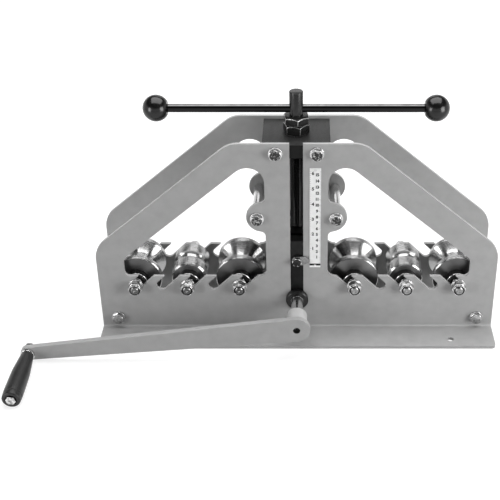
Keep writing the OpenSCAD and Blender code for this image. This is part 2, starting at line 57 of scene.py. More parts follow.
MM = 0.001
SIDES = ("outer_left", "middle_left", "inner_left", "inner_right", "middle_right", "outer_right")

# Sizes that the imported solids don't give by their boxes alone. R is a radius, FLATS the width of a hexagon,
# CLEARANCE the gap round a shaft, and OVERLAP how far the stretches of one piece run into each other.
# BALL_FLAT is an angle seen from the ball's centre.
CLEARANCE = 0.05
OVERLAP = 0.5

SCREW_PITCH = 2.5
SCREW_NECK_R = 6
SCREW_FOOT_R = 9.3
SCREW_FOOT_HEIGHT = 9.5
SCREW_THREAD_GAP = 0.5
SCREW_PLAIN_TOP = 5
SCREW_NUT_FLATS = 34
SCREW_NUT_BORE_R = 10.05

AXLE_END_R = 6
AXLE_END_PITCH = 1.75
AXLE_SHOULDER_Y = 48.2
AXLE_WASHER_R = 11
AXLE_HOLE_R = 6.1
AXLE_NUT_FLATS = 19
AXLE_NUT_COLLAR = 3
SPACER_R = 17.5
SPACER_BORE_R = 8.1
SPACER_GAP = 0.3

BOLT_R = 4.9
BOLT_FLATS = 16
BOLT_HEAD = 6.4
BOLT_START_Y = 25.5
WASHER_R = 10.2
WASHER_BORE_R = 5.3
WASHER_THICKNESS = 2
TIE_ROD_BORE_R = 5

SHAFT_R = 9
COLLAR_CHAMFER = 1.6
ARM_BORE_R = 5.3
SPINDLE_R = 5
SPINDLE_PITCH = 1.5
SPINDLE_THREAD = 14
SPINDLE_HEAD = 5.5
SPINDLE_NUT_FLATS = 16
SPINDLE_HOLE_R = 5.1
SMALL_FLATS = 13
POINTER_BOLT_R = 3.9
POINTER_BOLT_HEAD = 5.3
POINTER_BOLT_START = 5
HEAD_FACE_DEPTH = 0.1

BALL_FLAT = 0.25
BALL_BORE_END = 1.1
BALL_MOUTH_RECESS = 0.6

# Grooves of the rollers: width at the rim and depth, and for those with a flat floor its width
INNER_GROOVE = (40, 16, 8)
MIDDLE_GROOVE = (16, 6.5)
OUTER_GROOVE = (44, 14, 16)
FLANK_HOLLOW = 1.6
NARROW_CHAMFER = 1.2
WIDE_CHAMFER = 2.4

# Forms that the pieces share: the longest rounding as a share of a side, a hexagon's flat face as a share of
# its flats, a thread's depth as a share of its pitch, the drilling in an axle's end, the radius below which
# a point of a profile is a pole, and the angle in degrees from which an edge is sharp
LONGEST_ROUNDING = 0.49
HEXAGON_FACE = 0.96
HEXAGON_CHAMFER = math.radians(30)
THREAD_DEPTH = 0.55
THREAD_STEEPNESS = 1.4
THREAD_CREST = 0.2
DRILLING_R = 1.9
DRILLING_DEPTH = 2.6
POLE_R = 1e-6
CRISP_ANGLE = 32


def box_mm(node):
    """Lowest and highest corner of a node at rest, in millimetres."""
    low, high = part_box(node)
    return low / MM, high / MM


def middle(node):
    low, high = box_mm(node)
    return (low + high) / 2


def round_sizes(node):
    """Centre, radius and half length of a solid that is round about a line along Y."""
    low, high = box_mm(node)
    return (low + high) / 2, (high.x - low.x) / 2, (high.y - low.y) / 2


def plate_face():
    """How far the plates' outer faces are from the middle: the scale strip lies on the front one."""
    return -box_mm("scale_strip")[1].y


# Profiles and solids

def corner_arc(before, point, after, radius, steps):
    """Points of the arc that rounds one corner of a profile, taking less than half of either side."""
    p = Vector(point[:2])
    back = Vector(before[:2]) - p
    ahead = Vector(after[:2]) - p
    u = back.normalized()
    v = ahead.normalized()
    half = math.acos(max(-1.0, min(1.0, u.dot(v)))) / 2
    reach = min(radius / math.tan(half), back.length * LONGEST_ROUNDING, ahead.length * LONGEST_ROUNDING)
    centre = p + (u + v).normalized() * reach / math.cos(half)
    start = p + u * reach - centre
    turn = start.angle_signed(p + v * reach - centre)
    return [centre + rotated(start, -turn * i / steps) for i in range(steps + 1)]


def rotated(v, angle):
    c, s = math.cos(angle), math.sin(angle)
    return Vector((v.x * c - v.y * s, v.x * s + v.y * c))


def rounded(points, steps=3):
    """Profile from (radius, along) or (radius, along, rounding) points, with its corners rounded."""
    out = []
    for i, point in enumerate(points):
        if len(point) < 3 or point[2] == 0:
            out.append(Vector(point[:2]))
        else:
            out += corner_arc(points[i - 1], point, points[(i + 1) % len(points)], point[2], steps)
    return out


class Solid:
    """Vertices and faces of one piece, gathered before they become a mesh."""

    def __init__(self, centre, axis="Y"):
        self.centre = Vector(centre)
        self.axis = axis
        self.verts = []
        self.faces = []
        self.offset = Vector((0, 0, 0))

    def point(self, radius, angle, along):
        """Adds one vertex, at an angle round the axis, and returns its number."""
        a, b = radius * math.cos(angle), radius * math.sin(angle)
        place = {"X": (along, a, b), "Y": (b, along, a), "Z": (a, b, along)}[self.axis]
        self.verts.append(Vector(place) + self.offset)
        return len(self.verts) - 1

    def join(self, ring_a, ring_b):
        """Faces between two rings of vertices; a ring of one vertex is a pole."""
        n = max(len(ring_a), len(ring_b))
        for i in range(n):
            j = (i + 1) % n
            if len(ring_a) == 1:
                self.faces.append((ring_a[0], ring_b[j], ring_b[i]))
            elif len(ring_b) == 1:
                self.faces.append((ring_a[i], ring_a[j], ring_b[0]))
            else:
                self.faces.append((ring_a[i], ring_a[j], ring_b[j], ring_b[i]))

    def rings(self, rings, closed):
        for a, b in zip(rings, rings[1:]):
            self.join(a, b)
        if closed:
            self.join(rings[-1], rings[0])

    def lathe(self, profile, steps=96):
        """Turns a profile of (radius, along) points round the axis."""
        rings = []
        for radius, along in profile:
            if radius < POLE_R:
                rings.append([self.point(0, 0, along)])
            else:
                rings.append([self.point(radius, 2 * math.pi * i / steps, along) for i in range(steps)])
        self.rings(rings, closed=len(rings[0]) > 1 or len(rings[-1]) > 1)

    def rod(self, radius, low, high, roundings=(0, 0), bore=0, steps=64):
        """Plain rod or ring from low to high, with its two rims rounded."""
        self.lathe(rounded([
            (bore, low), (radius, low, roundings[0]), (radius, high, roundings[1]), (bore, high)
        ]), steps)

    def hexagon(self, flats, low, high, bore=0.0, chamfers=(True, True), turned=0.0, steps=72):
        """Hexagon bar from low to high with turned chamfers on its ends."""
        face_r = flats / 2 * HEXAGON_FACE
        angles = [2 * math.pi * i / steps for i in range(steps)]
        reach = [flats / 2 / math.cos((a + math.pi / 6) % (math.pi / 3) - math.pi / 6) for a in angles]
        drop = [(r - face_r) * math.tan(HEXAGON_CHAMFER) for r in reach]
        rings = []

        def ring(radii, alongs):
            rings.append([self.point(r, a + turned, y) for r, a, y in zip(radii, angles, alongs)])

        def end(along, inward, chamfer):
            """The rings of one end, from the bore outward."""
            made = [([bore] * steps, [along] * steps)] if bore else []
            if chamfer:
                made.append(([face_r] * steps, [along] * steps))
                made.append((reach, [along + inward * d for d in drop]))
            else:
                made.append((reach, [along] * steps))
            return made

        if not bore:
            rings.append([self.point(0, 0, low)])
        for made in end(low, 1, chamfers[0]) + end(high, -1, chamfers[1])[::-1]:
            ring(*made)
        if not bore:
            rings.append([self.point(0, 0, high)])
        self.rings(rings, closed=bool(bore))

    def cap(self, along, inward, drilled, steps):
        """Middle of a flat end: a pole, or the pole and rim of a centre drilling."""
        if not drilled:
            return [[self.point(0, 0, along)]]
        rim = [self.point(DRILLING_R, 2 * math.pi * i / steps, along) for i in range(steps)]
        return [[self.point(0, 0, along + DRILLING_DEPTH * inward)], rim]

    def thread(self, radius, pitch, low, high, steps=48, rows=8, lead_low=False, lead_high=True,
               drilled_low=False, drilled_high=False):
        """Screw thread from low to high, with a plain or drilled cap on each end; a lead tapers an end."""
        depth = THREAD_DEPTH * pitch
        count = max(2, round((high - low) / pitch * rows))
        rings = self.cap(low, 1, drilled_low, steps)
        for k in range(count + 1):
            along = low + (high - low) * k / count
            limit = radius
            if lead_high:
                limit = min(limit, radius - depth + (high - along))
            if lead_low:
                limit = min(limit, radius - depth + (along - low))
            ring = []
            for i in range(steps):
                phase = (along / pitch - i / steps) % 1
                slope = (1 - abs(2 * phase - 1)) * THREAD_STEEPNESS - THREAD_CREST
                cut_r = radius - depth * min(1.0, max(0.0, slope))
                ring.append(self.point(min(limit, cut_r), 2 * math.pi * i / steps, along))
            rings.append(ring)
        rings += self.cap(high, -1, drilled_high, steps)[::-1]
        self.rings(rings, closed=False)


def finish_mesh(obj):
    """Joins equal vertices, turns the faces outward and smooths them but for the sharp edges."""
    bm = bmesh.new()
    bm.from_mesh(obj.data)
    bmesh.ops.remove_doubles(bm, verts=bm.verts, dist=1e-7)
    bmesh.ops.recalc_face_normals(bm, faces=bm.faces)
    bm.to_mesh(obj.data)
    bm.free()
    obj.data.shade_smooth()
    obj.data.set_sharp_from_angle(angle=math.radians(CRISP_ANGLE))


def piece(name, solid, body, material, replaces=()):
    """Makes one new piece of a Solid and hangs it on its body."""
    mesh = bpy.data.meshes.new(name)
    mesh.from_pydata([v * MM for v in solid.verts], [], solid.faces)
    obj = bpy.data.objects.new(name, mesh)
    obj.location = solid.centre * MM
    bpy.context.scene.collection.objects.link(obj)
    finish_mesh(obj)
    mesh.materials.append(material)
    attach(obj, body)
    if replaces:
        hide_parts(*replaces)
    return obj


def face_material(obj, material, chosen):
    """Gives a material to the faces for which chosen(y) holds; y is their middle's, in millimetres."""
    obj.data.materials.append(material)
    slot = len(obj.data.materials) - 1
    for face in obj.data.polygons:
        if chosen(face.center.y / MM):
            face.material_index = slot


def bevel(obj, width, angle=CRISP_ANGLE, edge_material=None):
    """Rounds the edges sharper than angle degrees; edge_material, where given, shows on them."""
    mod = obj.modifiers.new("rounded_edges", "BEVEL")
    mod.width = width * MM
    mod.segments = 2
    mod.limit_method = "ANGLE"
    mod.angle_limit = math.radians(angle)
    mod.harden_normals = False
    if edge_material:
        obj.data.materials.append(edge_material)
        mod.material = len(obj.data.materials) - 1


# Materials. Greys are display values of 0 to 255, scales are cells a metre, depths are in millimetres.

def grey(value):
    """Opaque linear colour of a grey display value."""
    c = value / 255
    linear = c / 12.92 if c <= 0.04045 else ((c + 0.055) / 1.055) ** 2.4
    return (linear, linear, linear, 1)


# Sockets of the colour Mix node, which has several of the same name
MIX_A = 6
MIX_B = 7
MIX_RESULT = 2


class Surface:
    """A Principled material with the few procedural steps that the finishes here share."""

    def __init__(self, name, metallic=0.0, specular=0.5, anisotropic=0.0):
        self.material = bpy.data.materials.new(name)
        self.material.use_nodes = True
        self.tree = self.material.node_tree
        self.shader = self.tree.nodes["Principled BSDF"]
        self.shader.inputs["Metallic"].default_value = metallic
        self.shader.inputs["Specular IOR Level"].default_value = specular
        self.shader.inputs["Anisotropic"].default_value = anisotropic
        self.shader.inputs["Anisotropic Rotation"].default_value = 0.25
        self.coords = self.node("ShaderNodeTexCoord").outputs["Object"]

    def node(self, kind, **values):
        """Adds a node and sets its plain properties."""
        made = self.tree.nodes.new(kind)
        for key, value in values.items():
            setattr(made, key, value)
        return made

    def link(self, a, b):
        self.tree.links.new(a, b)

    def noise(self, scale, detail=3.0, stretch=(1, 1, 1)):
        """Noise, drawn out along an axis by a small factor there."""
        mapping = self.node("ShaderNodeMapping")
        mapping.inputs["Scale"].default_value = stretch
        made = self.node("ShaderNodeTexNoise")
        made.inputs["Scale"].default_value = scale
        made.inputs["Detail"].default_value = detail
        self.link(self.coords, mapping.inputs["Vector"])
        self.link(mapping.outputs["Vector"], made.inputs["Vector"])
        return made.outputs["Fac"]

    def turning(self, scale):
        """Fine rings round the piece's own Y axis, as a lathe leaves them on faces and rims."""
        parts = self.node("ShaderNodeSeparateXYZ")
        self.link(self.coords, parts.inputs["Vector"])
        flat = self.node("ShaderNodeCombineXYZ")
        self.link(parts.outputs["X"], flat.inputs["X"])
        self.link(parts.outputs["Z"], flat.inputs["Z"])
        radius = self.node("ShaderNodeVectorMath", operation="LENGTH")
        self.link(flat.outputs["Vector"], radius.inputs[0])
        total = self.node("ShaderNodeMath", operation="ADD")
        self.link(radius.outputs["Value"], total.inputs[0])
        self.link(parts.outputs["Y"], total.inputs[1])
        rings = self.node("ShaderNodeTexNoise", noise_dimensions="1D")
        rings.inputs["Scale"].default_value = scale
        rings.inputs["Detail"].default_value = 2.0
        self.link(total.outputs["Value"], rings.inputs["W"])
        return rings.outputs["Fac"]

    def spread(self, factor, low, high, window=(0.3, 0.7)):
        """A number between low and high that follows a noise over a window of its values."""
        made = self.node("ShaderNodeMapRange")
        made.inputs["From Min"].default_value = window[0]
        made.inputs["From Max"].default_value = window[1]
        made.inputs["To Min"].default_value = low
        made.inputs["To Max"].default_value = high
        self.link(factor, made.inputs["Value"])
        return made.outputs["Result"]

    def colour(self, factor, dark, light, window=(0.3, 0.7)):
        """Base colour between two colours that follows a noise."""
        self.mix_base(self.spread(factor, 0.0, 1.0, window), dark, light)

    def mix_base(self, factor, first, second=None):
        """Base colour from first to second by a factor; without a second, to the base colour so far."""
        mix = self.node("ShaderNodeMix", data_type="RGBA")
        mix.inputs[MIX_A].default_value = first
        if second:
            mix.inputs[MIX_B].default_value = second
        else:
            self.link(self.shader.inputs["Base Color"].links[0].from_socket, mix.inputs[MIX_B])
        self.link(factor, mix.inputs[0])
        self.link(mix.outputs[MIX_RESULT], self.shader.inputs["Base Color"])

    def blacken_bore(self, centre, radius):
        """Turns the colour black within radius of an axis along Y, both in millimetres: painted shade down a
        bore.
        """
        away = self.node("ShaderNodeVectorMath", operation="SUBTRACT")
        away.inputs[1].default_value = centre * MM
        self.link(self.coords, away.inputs[0])
        across = self.node("ShaderNodeVectorMath", operation="MULTIPLY")
        across.inputs[1].default_value = (1, 0, 1)
        self.link(away.outputs["Vector"], across.inputs[0])
        distance = self.node("ShaderNodeVectorMath", operation="LENGTH")
        self.link(across.outputs["Vector"], distance.inputs[0])
        outside = self.node("ShaderNodeMath", operation="GREATER_THAN")
        outside.inputs[1].default_value = radius * MM
        self.link(distance.outputs["Value"], outside.inputs[0])
        self.mix_base(outside.outputs["Value"], grey(6))

    def roughness(self, factor, low, high):
        self.link(self.spread(factor, low, high), self.shader.inputs["Roughness"])

    def bump(self, factor, depth):
        """Bumps of about depth millimetres."""
        made = self.node("ShaderNodeBump")
        made.inputs["Strength"].default_value = 1.0
        made.inputs["Distance"].default_value = depth * MM
        self.link(factor, made.inputs["Height"])
        self.link(made.outputs["Normal"], self.shader.inputs["Normal"])


def powder_coat(name, value, bore=None):
    """Satin powder coat with fine orange peel; bore is the centre and radius of a hole painted black as
    shade.
    """
    s = Surface(name, specular=0.45)
    s.colour(s.noise(scale=60), grey(value - 4), grey(value + 4))
    if bore:
        s.blacken_bore(*bore)
    s.roughness(s.noise(scale=220), low=0.40, high=0.50)
    s.bump(s.noise(scale=700, detail=2.0), depth=0.02)
    return s.material


def black_oxide(name, dark, light, rough, specular=0.5):
    """Blackened steel, a little cloudy."""
    s = Surface(name, metallic=0.6, specular=specular)
    s.colour(s.noise(scale=140, detail=5.0), grey(dark), grey(light))
    s.roughness(s.noise(scale=400, detail=4.0), low=rough - 0.05, high=rough + 0.08)
    s.bump(s.noise(scale=1600, detail=2.0), depth=0.006)
    return s.material


def rubbed_black(name, dark, light, steep, rough, metallic=0.6):
    """Blackened steel painted greyer where it faces up, from a normal with a Z of steep on: a painted
    highlight of the light from above.
    """
    s = Surface(name, metallic=metallic, specular=0.4)
    parts = s.node("ShaderNodeSeparateXYZ")
    s.link(s.node("ShaderNodeTexCoord").outputs["Normal"], parts.inputs["Vector"])
    facing_up = s.node("ShaderNodeMapRange")
    facing_up.inputs["From Min"].default_value = steep
    s.link(parts.outputs["Z"], facing_up.inputs["Value"])
    # Painted highlight: lighter colour on the faces that look up, streaked by a noise
    painted_top_light = s.node("ShaderNodeMath", operation="MULTIPLY", use_clamp=True)
    s.link(facing_up.outputs["Result"], painted_top_light.inputs[0])
    s.link(s.spread(s.noise(scale=90, detail=4.0, stretch=(1, 0.3, 1)), 0.6, 1.0), painted_top_light.inputs[1])
    s.mix_base(painted_top_light.outputs["Value"], grey(dark), grey(light))
    s.roughness(s.noise(scale=400, detail=4.0), low=rough - 0.05, high=rough + 0.07)
    s.bump(s.noise(scale=1600, detail=2.0), depth=0.006)
    return s.material


def worn_edge():
    """Edges where the black has worn through to bare steel."""
    s = Surface("worn_steel_edge", metallic=0.9)
    s.colour(s.noise(scale=500, detail=4.0), grey(90), grey(225))
    s.roughness(s.noise(scale=500), low=0.25, high=0.4)
    return s.material


def zinc_plate(name, dark, light, rough, grain=420, window=(0.3, 0.7)):
    """Zinc plate on bolts, nuts and washers."""
    s = Surface(name, metallic=1.0)
    s.colour(s.noise(scale=grain, detail=5.0), grey(dark), grey(light), window)
    s.roughness(s.noise(scale=700, detail=4.0), low=rough - 0.05, high=rough + 0.08)
    s.bump(s.noise(scale=900, detail=3.0), depth=0.012)
    return s.material


def turned_steel(name, dark, light, rough, drawn_out=0.8):
    """Steel turned on a lathe: fine rings, and highlights drawn out across them."""
    s = Surface(name, metallic=1.0, anisotropic=drawn_out)
    rings = s.turning(scale=2600)
    s.colour(rings, grey(dark), grey(light))
    s.roughness(rings, low=rough - 0.03, high=rough + 0.05)
    s.bump(rings, depth=0.0035)
    tangent = s.node("ShaderNodeTangent", direction_type="RADIAL", axis="Y")
    s.link(tangent.outputs["Tangent"], s.shader.inputs["Tangent"])
    return s.material


def hard_plastic(name, value, rough, specular):
    """Moulded black plastic."""
    s = Surface(name, specular=specular)
    s.colour(s.noise(scale=90), grey(value - 3), grey(value + 4))
    s.roughness(s.noise(scale=500, detail=3.0), low=rough - 0.04, high=rough + 0.05)
    s.bump(s.noise(scale=900, detail=3.0), depth=0.008)
    return s.material


def bronze():
    """Sintered bronze of the plain bearings."""
    s = Surface("sintered_bronze", metallic=1.0)
    s.colour(s.noise(scale=900, detail=5.0), (0.36, 0.20, 0.07, 1), (0.52, 0.31, 0.12, 1))
    s.roughness(s.noise(scale=900), low=0.35, high=0.5)
    s.bump(s.noise(scale=2500), depth=0.01)
    return s.material


def white_lacquer():
    """White lacquer on the scale's metal strip."""
    s = Surface("white_lacquer", specular=0.4)
    s.colour(s.noise(scale=120), grey(236), grey(246))
    s.roughness(s.noise(scale=300), low=0.3, high=0.4)
    s.bump(s.noise(scale=900), depth=0.004)
    return s.material


def black_ink():
    """Printed marks on the scale."""
    s = Surface("black_ink", specular=0.3)
    s.colour(s.noise(scale=900), grey(8), grey(28))
    s.roughness(s.noise(scale=900), low=0.5, high=0.6)
    return s.material


PLATE_GREY = powder_coat("grey_powder_coat", value=162)
# The arm's bore round the drive shaft's axis is painted black as shade
ARM_GREY = powder_coat("grey_powder_coat_arm", value=162, bore=(middle("drive_shaft"), ARM_BORE_R))
# Near-white colour on the bevels of plates and arm: a painted highlight along their edges
PAINTED_EDGE_HIGHLIGHT = powder_coat("grey_powder_coat_painted_edge_highlight", value=240)
HUB = powder_coat("pale_zinc_flake", value=186)
# Beam and cross bar are greyer the more they face up: a painted highlight of the overhead light
BEAM_BLACK = rubbed_black("beam_black", dark=12, light=58, steep=0.0, rough=0.45)
BAR_BLACK = rubbed_black("bar_black", dark=42, light=140, steep=0.80, rough=0.12, metallic=0.95)
SLIDE_BLACK = black_oxide("slide_black", dark=12, light=22, rough=0.42)
OXIDE = black_oxide("black_oxide", dark=26, light=44, rough=0.30)
SCREW_BLACK = black_oxide("screw_black", dark=26, light=40, rough=0.18, specular=0.8)
WORN = worn_edge()
ZINC = zinc_plate("bright_zinc", dark=178, light=222, rough=0.18)
DULL_ZINC = zinc_plate("dull_zinc", dark=120, light=158, rough=0.28)
HEAD_ZINC = zinc_plate("forged_zinc_head", dark=60, light=195, rough=0.42, grain=450, window=(0.52, 0.7))
FOOT_ZINC = zinc_plate("forged_zinc_foot_head", dark=104, light=200, rough=0.42, grain=300)
SPECKLED_ZINC = zinc_plate("speckled_zinc", dark=60, light=245, rough=0.42, grain=240)
STEEL = turned_steel("turned_steel", dark=160, light=210, rough=0.24, drawn_out=0.9)
FACED = turned_steel("faced_steel", dark=92, light=130, rough=0.40)
GROUND = turned_steel("ground_steel", dark=186, light=222, rough=0.34, drawn_out=0.95)
POLISHED = turned_steel("polished_steel", dark=200, light=240, rough=0.22, drawn_out=0.3)
BRONZE = bronze()
BALL = hard_plastic("gloss_black_plastic", value=14, rough=0.20, specular=0.4)
GRIP = hard_plastic("satin_black_plastic", value=30, rough=0.40, specular=0.4)
NYLON = hard_plastic("dark_nylon", value=30, rough=0.4, specular=0.4)
LACQUER = white_lacquer()
INK = black_ink()

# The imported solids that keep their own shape: their finishes, and the rounding of their edges

KEPT = {
    PLATE_GREY: ("front_frame_plate", "rear_frame_plate"),
    ARM_GREY: ("crank_arm",),
    BEAM_BLACK: ("top_beam",),
    SLIDE_BLACK: ("slide_block", "front_cheek", "rear_cheek", "screw_keeper"),
    OXIDE: ("cheek_screws", "drive_key"),
    ZINC: ("keeper_screws", "scale_rivets"),
    DULL_ZINC: ("pointer",),
    BRONZE: tuple("bush_" + side for side in SIDES) + ("front_shaft_bush", "rear_shaft_bush"),
    LACQUER: ("scale_strip",),
    POLISHED: ("drive_shaft",),
}
EDGES = {
    "front_frame_plate": 0.5, "rear_frame_plate": 0.5, "crank_arm": 0.6, "top_beam": 0.5,
    "slide_block": 0.4, "front_cheek": 0.4, "rear_cheek": 0.4, "screw_keeper": 0.4,
    "scale_strip": 0.15, "drive_shaft": 0.4,
}
# Solids whose bevelled edges carry the painted edge highlight
HIGHLIGHT_EDGED_SOLIDS = ("front_frame_plate", "rear_frame_plate", "crank_arm")
POINTER_EDGE = 0.35


def dress_kept_solids():
    for material, nodes in KEPT.items():
        for node in nodes:
            obj = frame["nodes"][node]
            obj.data.materials.clear()
            obj.data.materials.append(material)
    # Plates and crank arm get a painted highlight on their bevelled edges
    for node, width in EDGES.items():
        bevel(frame["nodes"][node], width, edge_material=PAINTED_EDGE_HIGHLIGHT if node in HIGHLIGHT_EDGED_SOLIDS else None)
    bevel(frame["nodes"]["pointer"], POINTER_EDGE, edge_material=ZINC)


# Rollers

BORE_ROUNDING = 0.4
RIM_ROUNDING = 0.3
LIP_ROUNDING = 0.5
FLOOR_ROUNDING = 1.5
ARC_STEPS = 24
FLANK_STEPS = 8
ROLLER_FACE_DEPTH = 0.2


def roller_profile(half, radius, bore, groove, chamfer):
    """Outside of a roller between faces at -half and half, as (radius, along) points."""
    grooved = arc_groove if len(groove) == 2 else flat_groove
    return rounded([
        (bore, -half, BORE_ROUNDING),
        (radius - chamfer, -half, RIM_ROUNDING),
        (radius, chamfer - half, RIM_ROUNDING),
        *grooved(radius, *groove),
        (radius, half - chamfer, RIM_ROUNDING),
        (radius - chamfer, half, RIM_ROUNDING),
        (bore, half, BORE_ROUNDING),
    ])


def arc_groove(radius, width, depth):
    """Groove that is one arc between rounded lips."""
    groove_r = (width * width / 4 + depth * depth) / (2 * depth)
    centre_r = radius - depth + groove_r
    span = math.asin(width / 2 / groove_r)
    angles = [-span + 2 * span * i / ARC_STEPS for i in range(1, ARC_STEPS)]
    return [
        (radius, -width / 2, LIP_ROUNDING),
        *[(centre_r - groove_r * math.cos(a), groove_r * math.sin(a)) for a in angles],
        (radius, width / 2, LIP_ROUNDING),
    ]


def flat_groove(radius, width, depth, floor):
    """Groove with a flat floor and hollow flanks."""
    flank = [(radius, width / 2, LIP_ROUNDING)]
    for i in range(1, FLANK_STEPS):
        t = i / FLANK_STEPS
        hollow = FLANK_HOLLOW * 4 * t * (1 - t)
        flank.append((radius - depth * t - hollow, width / 2 + (floor - width) / 2 * t, 0))
    flank.append((radius - depth, floor / 2, FLOOR_ROUNDING))
    return [(r, -y, rounding) for r, y, rounding in flank] + flank[::-1]


def roller(node, body, bore, groove, chamfer):
    centre, radius, half = round_sizes(node)
    solid = Solid(centre)
    solid.lathe(roller_profile(half, radius, bore, groove, chamfer), steps=128)
    made = piece(node + "_turned", solid, body, STEEL, [node])
    face_material(made, FACED, lambda y: abs(y) > half - ROLLER_FACE_DEPTH)


def side_rollers():
    shapes = {
        "inner": (INNER_GROOVE, NARROW_CHAMFER),
        "middle": (MIDDLE_GROOVE, WIDE_CHAMFER),
        "outer": (OUTER_GROOVE, NARROW_CHAMFER),
    }
    bush_r = round_sizes("bush_inner_left")[1]
    for side in SIDES:
        roller("die_" + side, "roller_" + side, bush_r + CLEARANCE, *shapes[side.split("_")[0]])


def centre_roller():
    shaft_r = round_sizes("drive_shaft")[1]
    roller("centre_die", "crank", shaft_r + CLEARANCE, INNER_GROOVE, NARROW_CHAMFER)


# Axles, with their spacers, washers and nuts

def ring_group(name, node, places, span, radius, bore, rounding, material):
    """Turned rings at several (x, z) places, over the same span at the front and the rear."""
    solid = Solid((0, 0, 0))
    for x, z in places:
        solid.offset = Vector((x, 0, z))
        for flip in (-1, 1):
            low, high = sorted((flip * span[0], flip * span[1]))
            solid.rod(radius, low, high, roundings=(rounding, rounding), bore=bore)
    return piece(name, solid, "frame", material, [node])


def axle(side):
    """Side axle: plain between its shoulders, threaded at both ends."""
    node = "axle_" + side
    low, high = box_mm(node)
    centre, radius, _ = round_sizes(node)
    shoulder = AXLE_SHOULDER_Y
    thread = {"radius": AXLE_END_R, "pitch": AXLE_END_PITCH, "steps": 40}
    start = shoulder - OVERLAP
    solid = Solid(centre)
    solid.rod(radius, -shoulder, shoulder, roundings=(0.4, 0.4))
    solid.thread(**thread, low=low.y, high=-start, lead_low=True, lead_high=False, drilled_low=True)
    solid.thread(**thread, low=start, high=high.y, drilled_high=True)
    made = piece(node + "_turned", solid, "frame", GROUND, [node])
    face_material(made, DULL_ZINC, lambda y: abs(y) > shoulder + 1)


def axle_hardware():
    centres = [middle("axle_" + side) for side in SIDES]
    places = [(centre.x, centre.z) for centre in centres]
    washer_y = -box_mm("axle_washers")[0].y
    ring_group(
        "axle_washers_pressed", "axle_washers", places, (plate_face(), washer_y),
        AXLE_WASHER_R, AXLE_HOLE_R, 0.5, ZINC,
    )
    die_y = box_mm("die_inner_left")[1].y
    spacer_y = box_mm("roller_spacers")[1].y
    spacers = ring_group(
        "roller_spacers_turned", "roller_spacers", places, (die_y + SPACER_GAP, spacer_y),
        SPACER_R, SPACER_BORE_R, 0, OXIDE,
    )
    bevel(spacers, 0.8, angle=40, edge_material=ZINC)
    axle_nuts(places, washer_y)


def axle_nuts(places, washer_y):
    """Nuts whose rolled collar holds a nylon ring, each turned its own way."""
    nylon_in, nylon_out = 6.2, 8.2
    collar_in, collar_lip, collar_out = 8.3, 8.7, 9.1
    end_y = box_mm("axle_nuts")[1].y
    nuts = Solid((0, 0, 0))
    rings = Solid((0, 0, 0))
    for n, (x, z) in enumerate(places):
        nuts.offset = rings.offset = Vector((x, 0, z))
        for flip in (-1, 1):
            inner, outer, tip = flip * washer_y, flip * (end_y - AXLE_NUT_COLLAR), flip * end_y
            low, high = sorted((inner, outer))
            nuts.hexagon(AXLE_NUT_FLATS, low, high, AXLE_HOLE_R, turned=math.radians(4 + 11 * n))
            nuts.lathe(rounded([
                (collar_in, outer), (collar_out, outer), (collar_out, tip - flip * 0.4, 0.6),
                (collar_lip, tip, 0.3), (collar_in, tip, 0.2),
            ]), steps=64)
            top = tip - flip * 0.3
            rings.lathe(rounded([
                (nylon_in, outer), (nylon_out, outer), (nylon_out, top, 0.5), (nylon_in, top, 0.5),
            ]), steps=64)
    bevel(piece("axle_nuts_plated", nuts, "frame", ZINC, ["axle_nuts"]), 0.2, angle=40)
    piece("nut_inserts_nylon", rings, "frame", NYLON, ["nut_inserts"])


# Bolts and tie rods through the plates

def plate_bolts(node, face):
    """Four hex bolts, with the finish face on top of their heads; returns the x and z of one of them."""
    low, high = box_mm(node)
    x = high.x - BOLT_FLATS / 2 / math.cos(math.pi / 6)
    z = (low.z + high.z) / 2
    bolts = Solid((0, 0, 0))
    for side in (-1, 1):
        bolts.offset = Vector((side * x, 0, z))
        for flip in (-1, 1):
            tip, under = flip * high.y, flip * (high.y - BOLT_HEAD)
            a, b = sorted((tip, under))
            turned = 0.35 * side + 0.2 * flip
            bolts.hexagon(BOLT_FLATS, a, b, chamfers=(flip < 0, flip > 0), turned=turned)
            a, b = sorted((flip * BOLT_START_Y, under + flip * OVERLAP))
            bolts.rod(BOLT_R, a, b, roundings=(0.5, 0.1), steps=40)
    made = piece(node + "_plated", bolts, "frame", ZINC, [node])
    face_material(made, face, lambda y: abs(y) > high.y - HEAD_FACE_DEPTH)
    bevel(made, 0.25, angle=40)
    return x, z


def tie_rods(node):
    low, high = box_mm(node)
    radius = (high.z - low.z) / 2
    rods = Solid((0, 0, 0))
    for side in (-1, 1):
        rods.offset = Vector((side * (high.x - radius), 0, (low.z + high.z) / 2))
        rods.rod(radius, low.y, high.y, roundings=(0.6, 0.6), bore=TIE_ROD_BORE_R)
    piece(node + "_turned", rods, "frame", POLISHED, [node])


def plate_hardware():
    places = []
    for node, face in (("beam_bolts", HEAD_ZINC), ("ear_bolts", HEAD_ZINC), ("foot_bolts", FOOT_ZINC)):
        x, z = plate_bolts(node, face)
        places += [(-x, z), (x, z)]
    inner = plate_face()
    ring_group(
        "bolt_washers_pressed", "bolt_washers", places, (inner, inner + WASHER_THICKNESS),
        WASHER_R, WASHER_BORE_R, 0.4, ZINC,
    )
    for node in ("ear_tie_rods", "foot_tie_rods"):
        tie_rods(node)


# Press screw, its nuts and its cross bar

def screw_nuts():
    for node, turned in (("press_nut", 17.2), ("lock_nut", 67.6)):
        low, high = box_mm(node)
        solid = Solid((0, 0, 0), "Z")
        solid.hexagon(SCREW_NUT_FLATS, low.z, high.z, SCREW_NUT_BORE_R, turned=math.radians(turned))
        made = piece(node + "_blackened", solid, "frame", OXIDE, [node])
        bevel(made, 0.45, angle=40, edge_material=WORN)


